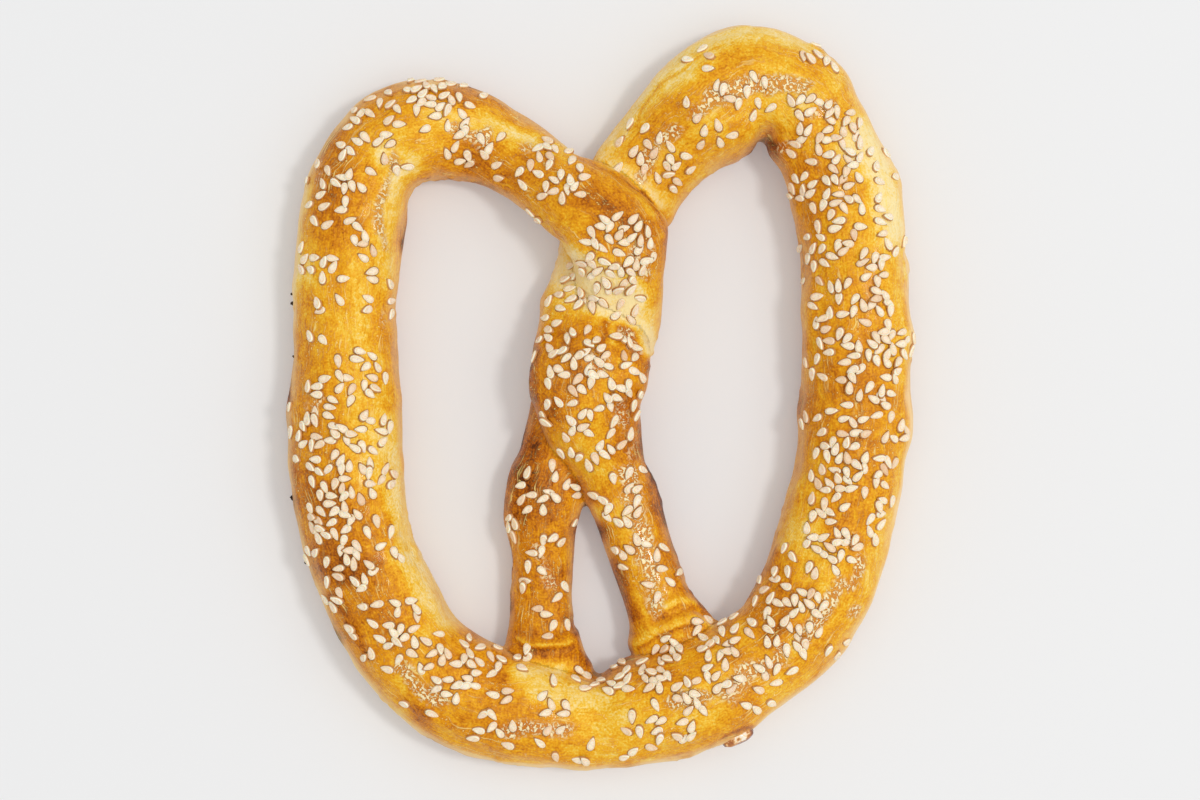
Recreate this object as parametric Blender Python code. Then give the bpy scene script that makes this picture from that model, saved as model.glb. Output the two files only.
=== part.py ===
"""A soft pretzel with sesame seeds, baked from one rope of dough.

Metres, +Z up. The pretzel lies as it was baked, on its flat underside at z = 0.
Its two loops are to the left and right, and its bow is towards -Y. The origin is
on the underside, below the middle of its outline.
"""
import math
import random

import bmesh
import bpy
from mathutils import Matrix, Vector
from mathutils.bvhtree import BVHTree

MM = 0.001

# How high the rope stands on the tray, as a share of its width, and where it is widest.
RISE = 0.8
WAIST = 0.42
# The underside spreads to a flat strip where the rest of the section would reach this deep.
SETTLED = 1.0
TOP_ROUNDNESS = 2.1
FOOT_ROUNDNESS = 2.8
SIDES = 14
RINGS_PER_STATION = 2

# Stations along the rope's middle line, in millimetres. Where the rope lies on the
# tray they are x, y and width. Where it is lifted they are x, y, width, height and
# the height of its underside.
LEFT_LEG = [
    (-11.8, -63.5, 22.5, 11.0, 0.8),
    (-12.2, -59.5, 20.0, 11.5, 0.8),
    (-12.7, -55.5, 18.2, 12.8, 0.8),
    (-13.3, -51.5, 14.8, 11.6, 0.6),
    (-13.4, -37.0, 14.4, 12.5, 0.4),
    (-13.0, -23.0, 18.4, 14.0, 0.2),
]
LEFT_OVER_CROSSING = [
    (-5.5, -3.0, 18.5, 12.0, 0.0),
    (2.5, 14.0, 19.5, 12.5, 1.5),
    (4.3, 25.5, 20.4, 15.5, 5.5),
    (2.6, 36.6, 22.8, 16.0, 9.0),
    (-7.6, 46.1, 18.8, 16.0, 6.5),
    (-19.3, 53.9, 17.6, 15.0, 1.5),
]
LEFT_LOOP = [
    (-29.6, 59.4, 20.0),
    (-39.8, 60.5, 23.6),
    (-50.2, 54.8, 24.0),
    (-55.8, 42.8, 24.0),
    (-57.8, 27.7, 23.3),
    (-57.8, 10.7, 23.5),
    (-57.6, -7.3, 25.6),
    (-56.3, -25.4, 25.8),
    (-51.7, -41.7, 25.4),
    (-42.6, -56.6, 25.6),
]
BOW = [
    (-29.8, -67.5, 25.6),
    (-14.9, -71.8, 23.8),
    (-2.0, -73.3, 21.8),
    (10.0, -70.9, 24.2),
    (22.4, -66.8, 25.8),
    (34.6, -59.8, 24.3),
]
RIGHT_LOOP = [
    (45.4, -49.0, 24.8),
    (51.7, -34.5, 25.2),
    (55.6, -17.5, 25.2),
    (57.7, -0.6, 25.0),
    (57.5, 17.5, 25.0),
    (56.4, 36.5, 24.8),
    (52.7, 51.9, 24.3),
    (45.1, 66.0, 25.0),
    (33.8, 71.3, 26.2),
    (22.9, 64.8, 26.4),
]
RIGHT_UNDER_CROSSING = [
    (13.6, 55.7, 22.8, 16.5, 0.0),
    (6.1, 46.5, 21.7, 13.0, 0.0),
    (-0.3, 34.5, 18.4, 10.5, 0.0),
    (-2.5, 19.8, 21.6, 15.0, 2.5),
]
RIGHT_LEG = [
    (-2.6, 7.3, 27.0, 16.5, 8.0),
    (-2.4, -2.8, 23.2, 16.5, 7.5),
    (1.5, -14.1, 17.6, 14.5, 4.0),
    (6.1, -25.9, 15.6, 13.0, 1.2),
    (9.8, -37.2, 14.8, 12.5, 0.8),
    (13.0, -45.5, 15.6, 12.0, 0.8),
    (16.0, -51.8, 19.6, 12.8, 0.8),
    (18.4, -57.5, 20.5, 12.0, 0.8),
]

# Sesame seeds: length, width and thickness in millimetres, and how far they are sunk.
SEED_LENGTH = 3.3
SEED_WIDTH = 2.1
SEED_THICKNESS = 1.5
SEED_SUNK = 0.15
SEED_POINTED = 0.45
# The largest seeds, which are modelled here, of all that lie on the real one.
SEEDS_KEPT = 0.165
SEED_GAP = 3.4
STEEPEST = 0.35
DRAWS_PER_SEED = 60

# A drop of glaze that ran down the bow and set at its foot, in millimetres: its middle,
# its length, width and height, and its turn.
DRIP_MIDDLE = (30.7, -75.5, 3.2)
DRIP_SIZE = (7.4, 4.8, 5.8)
DRIP_TURN = math.radians(27)

# Handfuls of seeds as they fell: x, y and radius in millimetres, and their number.
HANDFULS = [
    # Left loop: its right shoulder, its top, and down its outer side.
    (-10, 51, 8.5, 37), (-22.5, 47, 2.5, 3), (-14.3, 41, 2, 3), (-27, 54, 7, 10), (-36, 61.5, 7, 13),
    (-27, 68, 5, 6), (-39, 68, 6, 14), (-51, 63, 7, 23), (-47.5, 53, 5, 6), (-61, 52, 6, 12),
    (-58, 40.5, 8, 14), (-53, 34.8, 4, 8), (-66, 31, 3, 6), (-61, 29.5, 3, 5), (-57, 25.4, 3, 2),
    (-49, 24, 6, 10), (-60, 15, 9, 6), (-54, 4.5, 6, 19), (-64, -1, 6, 12), (-63, -10, 7, 24),
    (-52, -7.5, 5, 13), (-55, -18, 6, 13), (-49, -17, 3.5, 5), (-62, -19, 3, 5), (-59.5, -26.5, 6, 25),
    (-66, -34, 4, 4), (-48.5, -31, 6, 7), (-56, -38.5, 6, 20), (-57, -46.5, 5, 5), (-45.5, -50, 6, 16),
    (-49, -58, 4.5, 7), (-57, -55, 4, 3),
    # Bow, from left to right.
    (-39, -56, 4.5, 9), (-32.5, -61, 6, 18), (-27, -57.5, 5, 13), (-25, -66, 5, 6), (-36.5, -68, 4, 3),
    (-44, -69.5, 3, 2), (-24, -74, 5, 8), (-17.3, -58.5, 2.5, 5), (-11, -64.5, 3, 3), (-3.5, -63.5, 2.5, 6),
    (-9.5, -71, 5, 7), (-13, -78, 4, 3), (-2, -81, 4, 4), (6.5, -76.5, 5.5, 7), (17, -71, 6.5, 18),
    (7, -61.5, 4.5, 14), (12.5, -63, 3, 7), (14, -57, 4, 10), (19.5, -65.5, 3, 5), (23.5, -60.5, 3, 3),
    (26.5, -57.5, 4, 10), (26, -53, 5.5, 13), (28.5, -64, 3.5, 4), (35, -67, 3.5, 4), (39, -59.5, 4.5, 8),
    # Right loop, from the bow up to its top.
    (37, -51.5, 4, 7), (43.5, -53, 4.5, 11), (50, -55, 5, 4), (40, -44.5, 5.5, 15), (46, -46.5, 3.5, 7),
    (41, -36, 4, 6), (47, -40.5, 3, 3), (52.5, -34, 4.5, 16), (48, -29, 4, 7), (62, -29, 4, 6),
    (51, -20.5, 5.5, 18), (62, -22, 4, 8), (53.5, -13.5, 5.5, 17), (62.5, -14.5, 3, 6), (48.5, -4.5, 3.5, 6),
    (59, -5, 6, 14), (66.5, -8, 3.5, 6), (60, 6, 7, 29), (51, 5, 4, 3), (46.5, 8, 4, 5), (57, 14, 8, 23),
    (67, 12, 3.5, 8), (47.5, 18, 3, 3), (51.5, 22.5, 4.5, 9), (62, 20.8, 3, 8), (48, 28.5, 3.5, 5),
    (61, 29, 4, 11), (47.5, 36, 3.5, 8), (53, 34.5, 3.5, 4), (65, 35, 4, 5), (53, 40.5, 6, 14),
    (63, 43, 4, 4), (45, 47.5, 3, 11), (52, 46, 4, 7), (55, 51, 4, 10), (63, 51, 4, 4), (53, 56, 5, 12),
    (62, 55.5, 3, 3), (44.5, 54.5, 3.5, 4), (54.5, 61, 4, 6), (47.5, 63, 4.5, 12), (49, 76.5, 4.5, 9),
    (39, 68, 4, 3), (33, 66.5, 5, 9), (23, 72, 6, 7), (18, 62.5, 4, 3), (24.5, 57, 5, 6), (16, 51, 4.5, 10),
    (9, 55, 7, 14),
    # Where the loops cross, the twist, and the two legs.
    (4, 32.5, 8, 44), (-4, 24.5, 6, 20), (5, 21.5, 4.5, 9), (-11.5, 21, 3.5, 4), (-7.5, 9, 8, 38),
    (3, 7, 6.5, 17), (-6, -2, 8, 15), (5, -1, 5, 11), (-4, -11, 5, 9), (5, -13, 6, 12), (4, -24, 6.5, 14),
    (10, -38, 8, 20), (-12, -21, 6.5, 17), (-19.5, -30, 3, 6), (-13, -34, 5.5, 9), (-6, -30, 3, 3),
    (-13, -47, 7, 10),
]


def material(name, colour, roughness):
    made = bpy.data.materials.new(name)
    made.use_nodes = True
    shader = made.node_tree.nodes["Principled BSDF"]
    shader.inputs["Base Color"].default_value = (*colour, 1)
    shader.inputs["Roughness"].default_value = roughness
    shader.inputs["Metallic"].default_value = 0
    return made


def lying(stations):
    """Stations of rope on the tray, with the height that its width gives it."""
    return [(x, y, width, width * RISE, 0) for x, y, width in stations]


def eased(before, start, end, after, t):
    """A point of the smooth curve from start to end, t of the way along it."""
    return [
        0.5 * (2 * b + (c - a) * t + (2 * a - 5 * b + 4 * c - d) * t**2 + (3 * b - a - 3 * c + d) * t**3)
        for a, b, c, d in zip(before, start, end, after)
    ]


def rope_stations():
    """The whole rope from the left leg's end to the right leg's, with rings between the stations."""
    route = [*LEFT_LEG, *LEFT_OVER_CROSSING, *lying(LEFT_LOOP), *lying(BOW), *lying(RIGHT_LOOP)]
    route += [*RIGHT_UNDER_CROSSING, *RIGHT_LEG]
    smooth = []
    for i in range(len(route) - 1):
        around = [route[max(i - 1, 0)], route[i], route[i + 1], route[min(i + 2, len(route) - 1)]]
        smooth += [eased(*around, step / RINGS_PER_STATION) for step in range(RINGS_PER_STATION)]
    return [*smooth, list(route[-1])]


def section(width, height):
    """Points round a section of the rope: across it and up, from its flat underside."""
    waist = WAIST * height
    points = []
    for i in range(SIDES):
        angle = math.tau * i / SIDES
        across, up = math.cos(angle), math.sin(angle)
        if up > 0:
            power = 2 / TOP_ROUNDNESS
            rise = waist + (height - waist) * up**power
        else:
            power = 2 / FOOT_ROUNDNESS
            rise = max(0, waist - (waist + SETTLED) * (-up) ** power)
        points.append((width / 2 * math.copysign(abs(across) ** power, across), rise))
    return points


def rope():
    """The bare rope of dough, lofted through its sections."""
    stations = rope_stations()
    mesh = bmesh.new()
    rings = []
    for i, (x, y, width, height, lift) in enumerate(stations):
        ahead = stations[min(i + 1, len(stations) - 1)]
        behind = stations[max(i - 1, 0)]
        along = Vector((ahead[0] - behind[0], ahead[1] - behind[1])).normalized()
        ring = []
        for across, up in section(width, height):
            place = Vector((x + along.y * across, y - along.x * across, max(0, lift) + up))
            ring.append(mesh.verts.new(place * MM))
        rings.append(ring)
    for ring, next_ring in zip(rings, rings[1:]):
        for k in range(SIDES):
            m = (k + 1) % SIDES
            mesh.faces.new((ring[k], ring[m], next_ring[m], next_ring[k]))
    mesh.faces.new(rings[0])
    mesh.faces.new(rings[-1])
    bmesh.ops.recalc_face_normals(mesh, faces=mesh.faces)
    bmesh.ops.triangulate(mesh, faces=mesh.faces)
    dough = bpy.data.meshes.new("pretzel")
    mesh.to_mesh(dough)
    mesh.free()
    return bpy.data.objects.new("pretzel", dough)


def seed_places():
    """Where the seeds lie, seen from above, with the turn and the size of each."""
    draw = random.Random(7)
    places = []
    for x, y, radius, number in HANDFULS:
        sown = 0
        wanted = round(number * SEEDS_KEPT)
        for _ in range(wanted * DRAWS_PER_SEED):
            reach = radius * math.sqrt(draw.random())
            bearing = draw.uniform(0, math.tau)
            place = Vector((x + reach * math.cos(bearing), y + reach * math.sin(bearing)))
            if all((place - other[0]).length > SEED_GAP for other in places):
                places.append((place, draw.uniform(0, math.tau), draw.uniform(0.9, 1.1)))
                sown += 1
            if sown == wanted:
                break
    return places


def seed_mesh():
    """A plump teardrop that lies along X, with its middle at the origin."""
    mesh = bmesh.new()
    bmesh.ops.create_uvsphere(mesh, u_segments=7, v_segments=4, radius=0.5)
    for vert in mesh.verts:
        vert.co.y *= 1 - SEED_POINTED * vert.co.x
    bmesh.ops.scale(mesh, vec=Vector((SEED_LENGTH, SEED_WIDTH, SEED_THICKNESS)) * MM, verts=mesh.verts)
    seed = bpy.data.meshes.new("seed")
    mesh.to_mesh(seed)
    mesh.free()
    return seed


def seeds_on(dough, collection):
    """Lays each seed flat on the dough below its place, where that isn't too steep."""
    surface = BVHTree.FromPolygons(
        [vert.co for vert in dough.data.vertices],
        [face.vertices for face in dough.data.polygons],
    )
    shape = seed_mesh()
    above = 1.0
    for place, turn, size in seed_places():
        hit, normal, _, _ = surface.ray_cast(Vector((*place * MM, above)), Vector((0, 0, -1)))
        if hit is None or normal.z < STEEPEST:
            continue
        seed = bpy.data.objects.new("seed", shape)
        lies = normal.to_track_quat("Z", "Y").to_matrix().to_4x4()
        middle = Matrix.Translation(hit - normal * SEED_SUNK * MM)
        seed.matrix_world = middle @ lies @ Matrix.Rotation(turn, 4, "Z") @ Matrix.Scale(size, 4)
        collection.objects.link(seed)


def glaze_drip(collection):
    """The drop of set glaze, as a flattened ball."""
    mesh = bmesh.new()
    bmesh.ops.create_uvsphere(mesh, u_segments=12, v_segments=6, radius=0.5)
    bmesh.ops.scale(mesh, vec=Vector(DRIP_SIZE) * MM, verts=mesh.verts)
    shape = bpy.data.meshes.new("glaze drip")
    mesh.to_mesh(shape)
    mesh.free()
    drip = bpy.data.objects.new("glaze drip", shape)
    drip.matrix_world = Matrix.Translation(Vector(DRIP_MIDDLE) * MM) @ Matrix.Rotation(DRIP_TURN, 4, "Z")
    collection.objects.link(drip)


def fuse(dough, baked_on):
    """Joins what is baked on and the rope's crossing strands into one body."""
    union = dough.modifiers.new("baked on", "BOOLEAN")
    union.operation = "UNION"
    union.operand_type = "COLLECTION"
    union.collection = baked_on
    union.solver = "EXACT"
    union.use_self = True
    graph = bpy.context.evaluated_depsgraph_get()
    joined = bpy.data.meshes.new_from_object(dough.evaluated_get(graph))
    dough.modifiers.clear()
    dough.data = joined
    for item in list(baked_on.objects):
        bpy.data.objects.remove(item)
    bpy.data.collections.remove(baked_on)


def keep_outer_skin(dough):
    """Drops the small sealed hollows between the crossing strands."""
    mesh = bmesh.new()
    mesh.from_mesh(dough.data)
    left = set(mesh.verts)
    skins = []
    while left:
        skin = {left.pop()}
        edge_of_skin = list(skin)
        while edge_of_skin:
            vert = edge_of_skin.pop()
            for edge in vert.link_edges:
                other = edge.other_vert(vert)
                if other in left:
                    left.remove(other)
                    skin.add(other)
                    edge_of_skin.append(other)
        skins.append(skin)
    skins.sort(key=len)
    for skin in skins[:-1]:
        bmesh.ops.delete(mesh, geom=list(skin), context="VERTS")
    bmesh.ops.triangulate(mesh, faces=mesh.faces)
    mesh.to_mesh(dough.data)
    mesh.free()


def main():
    for item in list(bpy.data.objects):
        bpy.data.objects.remove(item)
    pretzel = bpy.data.collections.new("sesame pretzel")
    bpy.context.scene.collection.children.link(pretzel)
    baked_on = bpy.data.collections.new("baked on")
    bpy.context.scene.collection.children.link(baked_on)
    dough = rope()
    pretzel.objects.link(dough)
    seeds_on(dough, baked_on)
    glaze_drip(baked_on)
    fuse(dough, baked_on)
    keep_outer_skin(dough)
    dough.data.materials.append(material("baked crust", (0.62, 0.27, 0.05), 0.4))


main()
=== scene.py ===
"""The looks of a soft sesame pretzel, seen from straight above on a white table.

The dough is one skin grown over the crossing strands of the rope, and stands for the
solid. The seeds, a drop of glaze and a few burnt crumbs are pieces of their own.
Tables hold millimetres, in the frame of the solid; the scene is in metres.
"""
import itertools
import math
import random

import bmesh
import bpy
import numpy as np
from mathutils import Matrix, Vector
from mathutils.bvhtree import BVHTree


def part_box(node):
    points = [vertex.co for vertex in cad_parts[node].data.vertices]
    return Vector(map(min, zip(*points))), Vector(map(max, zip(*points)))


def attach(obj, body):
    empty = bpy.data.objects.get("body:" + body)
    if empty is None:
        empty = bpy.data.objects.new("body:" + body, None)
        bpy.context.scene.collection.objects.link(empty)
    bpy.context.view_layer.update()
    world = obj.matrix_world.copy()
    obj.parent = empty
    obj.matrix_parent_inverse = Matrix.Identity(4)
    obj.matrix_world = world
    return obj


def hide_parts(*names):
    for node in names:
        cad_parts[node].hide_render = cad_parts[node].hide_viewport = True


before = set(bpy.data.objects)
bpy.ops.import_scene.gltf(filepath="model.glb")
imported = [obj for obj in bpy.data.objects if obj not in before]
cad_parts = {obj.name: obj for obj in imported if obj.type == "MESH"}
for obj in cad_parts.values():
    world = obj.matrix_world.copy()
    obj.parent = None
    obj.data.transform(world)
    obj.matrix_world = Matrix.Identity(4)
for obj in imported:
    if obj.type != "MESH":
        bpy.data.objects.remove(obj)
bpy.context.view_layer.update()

MM = 0.001
DOWN = Vector((0, 0, -1))

# The rope of dough, as in the solid: how high it stands as a share of its width, where
# it is widest, how deep its section would reach below the tray, and its roundness.
RISE = 0.8
WAIST = 0.42
SETTLED = 1.0
TOP_ROUNDNESS = 2.1
FOOT_ROUNDNESS = 2.8
SIDES = 48
RINGS_PER_STATION = 8

# Stations along the rope: x, y and width, and where it is lifted also its height and
# the height of its underside.
LEFT_LEG = [
    (-11.8, -63.5, 22.5, 11.0, 0.8), (-12.2, -59.5, 20.0, 11.5, 0.8),
    (-12.7, -55.5, 18.2, 12.8, 0.8), (-13.3, -51.5, 14.8, 11.6, 0.6),
    (-13.4, -37.0, 14.4, 12.5, 0.4), (-13.0, -23.0, 18.4, 14.0, 0.2),
]
LEFT_OVER_CROSSING = [
    (-5.5, -3.0, 18.5, 12.0, 0.0), (2.5, 14.0, 19.5, 12.5, 1.5), (4.3, 25.5, 20.4, 15.5, 5.5),
    (2.6, 36.6, 22.8, 16.0, 9.0), (-7.6, 46.1, 18.8, 16.0, 6.5), (-19.3, 53.9, 17.6, 15.0, 1.5),
]
LEFT_LOOP = [
    (-29.6, 59.4, 20.0), (-39.8, 60.5, 23.6), (-50.2, 54.8, 24.0), (-55.8, 42.8, 24.0),
    (-57.8, 27.7, 23.3), (-57.8, 10.7, 23.5), (-57.6, -7.3, 25.6), (-56.3, -25.4, 25.8),
    (-51.7, -41.7, 25.4), (-42.6, -56.6, 25.6),
]
BOW = [
    (-29.8, -67.5, 25.6), (-14.9, -71.8, 23.8), (-2.0, -73.3, 21.8), (10.0, -70.9, 24.2),
    (22.4, -66.8, 25.8), (34.6, -59.8, 24.3),
]
RIGHT_LOOP = [
    (45.4, -49.0, 24.8), (51.7, -34.5, 25.2), (55.6, -17.5, 25.2), (57.7, -0.6, 25.0),
    (57.5, 17.5, 25.0), (56.4, 36.5, 24.8), (52.7, 51.9, 24.3), (45.1, 66.0, 25.0),
    (33.8, 71.3, 26.2), (22.9, 64.8, 26.4),
]
RIGHT_UNDER_CROSSING = [
    (13.6, 55.7, 22.8, 16.5, 0.0), (6.1, 46.5, 21.7, 13.0, 0.0), (-0.3, 34.5, 18.4, 10.5, 0.0),
    (-2.5, 19.8, 21.6, 15.0, 2.5),
]
RIGHT_LEG = [
    (-2.6, 7.3, 27.0, 16.5, 8.0), (-2.4, -2.8, 23.2, 16.5, 7.5), (1.5, -14.1, 17.6, 14.5, 4.0),
    (6.1, -25.9, 15.6, 13.0, 1.2), (9.8, -37.2, 14.8, 12.5, 0.8), (13.0, -45.5, 15.6, 12.0, 0.8),
    (16.0, -51.8, 19.6, 12.8, 0.8), (18.4, -57.5, 20.5, 12.0, 0.8),
]

# The skin: the cubes that it is grown from, how often it is evened out, which fills the
# creases, and the share of its triangles that is kept, mostly on its curved side.
CUBE = 0.6
EVENED = 6
KEPT_TRIANGLES = 0.63
# A crease is where the skin lies this far below the same skin evened out more often; the crust is
# darkened there with painted shade.
EVENED_OVER_CREASES = 25
CREASE_SHADE_DEPTHS = (0.12, 0.7)

# Relief of the dough: how far it stands in or out, and how wide its forms are.
LUMP, LUMP_WIDTH = 0.75, 15
DENT, DENT_WIDTH = 0.35, 5
FIBRE, FIBRE_WIDTH, FIBRE_LENGTH = 0.2, 2.1, 13
BLISTER, BLISTER_WIDTH = 0.4, 2.2
ROUGH_SIDE, ROUGH_WIDTH = 0.5, 1.7
# Fibres wander this far sideways, over this length, and come and go over this width.
WANDER, WANDER_LENGTH = 2.2, 11
FIBRES_FADE_WIDTH = 16
# The side is torn in stretches this long.
TORN_WIDTH = 10
# Above this height the crossing has sunk together, by this share of what stands over it.
SETTLED_ABOVE = 23.0
SETTLED_SHARE = 0.45

# How brown the crust is, from 0 for pale stretched dough to 1 for burnt: on the whole, how
# far that drifts along the rope, and how much more the sides' shoulders and torn crumbs
# are browned.
CRUST_BROWN = 0.5
DRIFT, DRIFT_LENGTH, DRIFT_WIDTH = 0.13, 26, 7
BLOTCH, BLOTCH_WIDTH = 0.07, 9
SHOULDER_BROWN, SHOULDER_WIDTH = 0.17, 9
TORN_BROWN = 0.3
UNDERSIDE_BROWN, UNDERSIDE_BLOTCH, UNDERSIDE_BLOTCH_WIDTH = 0.66, 0.12, 7
# Patches and streaks have wavering edges, by this much and over this width.
WAVER, WAVER_WIDTH = 1.1, 5

# Patches of the crust: x, y, radius and brownness. Later ones lie over earlier ones.
# Some dark ones are painted shade: (38.5, 57.3) and (36.3, 55) in the right loop's notch,
# (-3, -59.3) and (2.6, -58.7) at the foot of the gap between the legs, (25, -48) where
# the right leg meets the bow and (-28.3, -51.8) in the left hole's lower corner; (42.5, -1.5)
# and (43.2, 12.3) on the right loop's inner edge, turned from the lamps, are partly painted shade.
PATCHES = [
    # Left loop.
    (-31, 69, 4, 0.76), (-39, 69, 5, 0.54), (-28, 53.5, 4, 0.8), (-20, 49, 5, 0.62), (-55, 57, 6, 0.46),
    (-60, 47, 8, 0.62), (-64, 0, 6, 0.55), (-61.5, -20, 6, 0.8), (-61, -36, 7, 0.8), (-52, -49, 7, 0.66),
    (-51, -39, 4, 0.64), (-57.5, -11, 4, 0.56), (-40.5, -41, 3, 0.06), (-57, 4.5, 4, 0.56),
    (-57.7, 34.5, 3, 0.56), (-72, 0.5, 3, 0.88), (-50, 7.6, 2.5, 0.3), (-44.8, -43.8, 2.5, 0.62),
    (-65.3, 42.6, 3, 0.44), (-71.4, -22.9, 3, 0.84), (-46.6, -49.2, 3, 0.68), (-56.5, 4.2, 4, 0.5),
    (-43.6, 35.2, 2.8, 0.94), (-67.5, 46, 3, 0.25), (-45, 14, 4, 0.56), (-24.2, 54.2, 2.5, 0.6),
    (-28.3, -51.8, 2.5, 0.8), (-56, -38.6, 4, 0.86), (-38, 56.4, 3, 0.36), (-39, -45, 3.5, 0.1),
    (-43, -36, 3, 0.1), (-48, 54.2, 3, 0.1), (-56.5, 25.7, 4, 0.56), (-61, -17, 3, 0.46),
    (-45.5, 58, 3, 0.3), (-65, 55.5, 3, 0.36), (-69, 29.5, 3, 0.1), (-39.5, -53, 3, 0.34),
    (-44, -43.5, 3, 0.52),
    # Crossing and trunk.
    (-8, 12, 3, 0.78), (5, 14, 4, 0.66), (-10, 2, 5, 0.68), (-5.2, 28.5, 3, -0.08), (-7.9, 45.6, 3, 0.5),
    (12.4, 9.6, 3, 0.86), (4, 22.5, 4, 0.12), (-8, 31, 4, 0.17), (-4.7, 6.4, 3, 0.74),
    (-14.8, 37.5, 4, 0.26), (-7.5, 29.5, 3, 0.04), (-10, 11.5, 3, 0.62), (15, 17.5, 2.5, 0.52),
    (12.6, 10.3, 2.5, 0.6), (13.5, 8, 2.5, 0.76),
    # Legs.
    (5, -1, 5, 0.6), (-16, -11, 4, 0.88), (-17, -20, 5, 0.76), (-15, -35, 5, 0.6), (-13, -46, 4, 0.66),
    (6, -8, 4, 0.65), (12, -42, 4, 0.45), (-12, -19, 4, 0.76), (-4, -52, 2.5, 0.8),
    (-17.5, -26, 3.5, 0.78), (-17.2, -17.3, 3, 0.95), (-6.3, -50.8, 2.5, 0.76), (16, -47.8, 3, 0.76),
    (1.1, -30.9, 2, 0.86), (-12, -25, 3, 0.78), (-23.7, -23.2, 3, 0.98), (-11.3, -3.7, 3, 0.8),
    (1.6, -21.4, 3, 0.6), (15.5, -25.7, 3, 1.1), (-5.2, -52.6, 2, 0.9), (-5, -30, 2.5, 0.74),
    (-5.5, -40.4, 2.5, 0.74), (-10.4, -41, 2.5, 0.72), (7.2, -11.6, 2.5, 0.9), (-2.3, -23.2, 2, 0.84),
    (-1.1, -31.3, 2, 0.84), (-21.5, -46.7, 2, 0.84), (5.4, -2.4, 3, 0.76), (22.2, -43.5, 2.8, 0.98),
    (6.6, -48.5, 2, 0.86), (6, -12.5, 4, 0.7), (-6, -20, 3, 0.76),
    # Bow.
    (-41, -71, 3.5, 0.82), (-25, -72, 6, 0.55), (14, -66, 5, 0.5), (41, -50, 5, 0.66),
    (-26, -64, 4, 0.6), (23.5, -48.5, 2.5, 0.78), (31, -79, 2.5, 0.9), (20, -67.3, 3, 0.34),
    (31.4, -52.1, 3, 0.44), (26.7, -64.1, 3, 0.28), (-45, -71.3, 2.5, 0.42), (-60.4, -54.4, 2.5, 0.82),
    (25, -48, 3, 1.05), (-22, -62.3, 3, 0.66), (40.5, -53, 2, 0.84), (5.7, -57.3, 2, 0.86),
    (24.4, -61.2, 3, 0.48), (-3, -59.3, 2, 0.9), (2.6, -58.7, 2.4, 0.98), (12.4, -83, 3, 0.3),
    (-32, -56, 3, 0.44), (44, -55, 3, 0.28), (0.5, -73.5, 4, 0.32), (26, -56.5, 3, 0.38),
    (-41.5, -77.5, 3, 0.72), (18, -58.7, 3, 0.44), (22, -50, 3, 0.66), (7.5, -71.8, 6, 0.27),
    (4.5, -55, 2.5, 0.84), (40, -66, 5, 0.32), (-35, -60, 4, 0.58),
    # Right loop.
    (57, -26, 7, 0.56), (46, -30.5, 5, 0.18), (49, -8, 6, 0.56), (46, 1, 3, 0.62), (55, 2, 2, 0.76),
    (62, 22, 3, 0.66), (49, 44, 4, 0.62), (43, 54, 3, 0.6), (60, 61, 4, 0.24), (10, 60, 4, 0.56),
    (25, 68, 7, 0.48), (40, 72, 8, 0.38), (38.5, 64, 3.5, 0.34), (62, 55, 5, 0.14), (9.7, 67, 3, 0.2),
    (34.4, 80.6, 3, 0.2), (48, -48, 3, 0.44), (50.4, 33, 3, 0.4), (53, 46, 3, 0.42), (25, 61, 4, 0.34),
    (52.7, 12.5, 3, 0.42), (38.5, 57.3, 1.6, 1.0), (41, 59.3, 2.2, 0.42), (27.1, 84, 2.5, 0.4),
    (12.7, 54.2, 2.5, 0.2), (0.9, 61.4, 2.5, 0.42), (43.2, 12.3, 2.5, 0.88), (11.8, 54, 3, 0.36),
    (-7, 57, 4, 0.3), (36.3, 55, 3, 0.96), (47.2, 56.2, 3, 0.42), (42.5, -1.5, 3, 1.04),
    (30, 51.4, 3, 0.68), (40.5, -18.5, 3, 0.2), (18.5, 73.8, 3, 0.05), (23.5, 77.5, 2.5, 0.05),
    (71, 29.5, 3, 0.1), (70.5, 13.5, 3, 0.0), (50.5, 39, 3, 0.42), (63, 10.8, 3, 0.32), (51, 23, 3, 0.4),
    (46, -37.5, 3, 0.34), (55, -17.5, 3, 0.44), (33, 65, 4, 0.34), (45, 66, 4, 0.18), (15, 70.5, 3, 0.1),
    (52, -29.5, 3, 0.68), (1.5, 57, 4, 0.3), (51, 27.5, 5, 0.46), (53, 71, 5, 0.32),
    (56.5, 57.5, 5, 0.08),
]

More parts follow.
